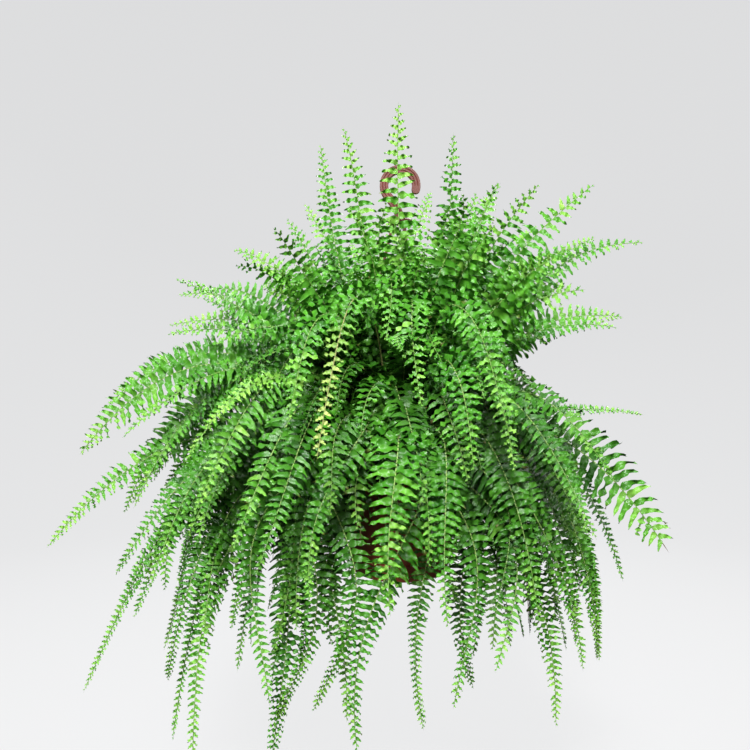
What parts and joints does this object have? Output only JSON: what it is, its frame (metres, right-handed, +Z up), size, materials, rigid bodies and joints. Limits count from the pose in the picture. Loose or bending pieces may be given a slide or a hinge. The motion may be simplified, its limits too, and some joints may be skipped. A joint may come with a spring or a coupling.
{
  "type": "potted fern",
  "caption": "Boston fern with long arching feathery fronds in a tapered plastic hanging pot with a clip-on saucer, hung from a ribbed hook by thin strands.",
  "frame": {"origin": "the seat of the hanger's hook: the lowest point of the inside of the top of its loop, where it rests on what it hangs from, straight above the middle of the pot", "axes": "+Z up along the pot's axis; -Y is the front, the side in the picture, and the hook's open loop lies flat to it; +X is to the right seen from the front, where the loop opens"},
  "size_m": [0.9062, 0.6991, 0.93],
  "materials": {
    "terracotta_plastic": "satin",
    "hanger_plastic": "satin",
    "potting_mix": "matte",
    "crown": "matte",
    "frond_green": "satin"
  },
  "bodies": {
    "root": {"pot": "terracotta_plastic", "saucer": "terracotta_plastic", "soil": "potting_mix", "crown": "crown", "hanger_hook": "hanger_plastic", "hanger_strand_1": "hanger_plastic", "hanger_strand_2": "hanger_plastic", "hanger_strand_3": "hanger_plastic", "frond_t01": "frond_green", "frond_f01": "frond_green", "frond_t15": "frond_green", "frond_f02": "frond_green", "frond_f03": "frond_green", "frond_s06": "frond_green", "frond_s01": "frond_green", "frond_t02": "frond_green", "frond_t03": "frond_green", "frond_t04": "frond_green", "frond_t05": "frond_green", "frond_t06": "frond_green", "frond_t07": "frond_green", "frond_t08": "frond_green", "frond_t09": "frond_green", "frond_t10": "frond_green", "frond_t11": "frond_green", "frond_t12": "frond_green", "frond_t13": "frond_green", "frond_t14": "frond_green", "frond_t16": "frond_green", "frond_t17": "frond_green", "frond_t18": "frond_green", "frond_s03": "frond_green", "frond_s04": "frond_green", "frond_s05": "frond_green", "frond_s07": "frond_green", "frond_s08": "frond_green", "frond_s11": "frond_green", "frond_s12": "frond_green", "frond_s13": "frond_green", "frond_s14": "frond_green", "frond_s16": "frond_green", "frond_s17": "frond_green", "frond_s19": "frond_green", "frond_s21": "frond_green", "frond_f23": "frond_green", "frond_f25": "frond_green", "frond_f26": "frond_green", "frond_f04": "frond_green", "frond_b01": "frond_green", "frond_b02": "frond_green", "frond_b03": "frond_green", "frond_b04": "frond_green", "frond_b05": "frond_green", "frond_b06": "frond_green", "frond_b07": "frond_green", "frond_b08": "frond_green", "frond_b09": "frond_green", "frond_b10": "frond_green", "frond_b11": "frond_green", "frond_b12": "frond_green"}
  },
  "joints": []
}
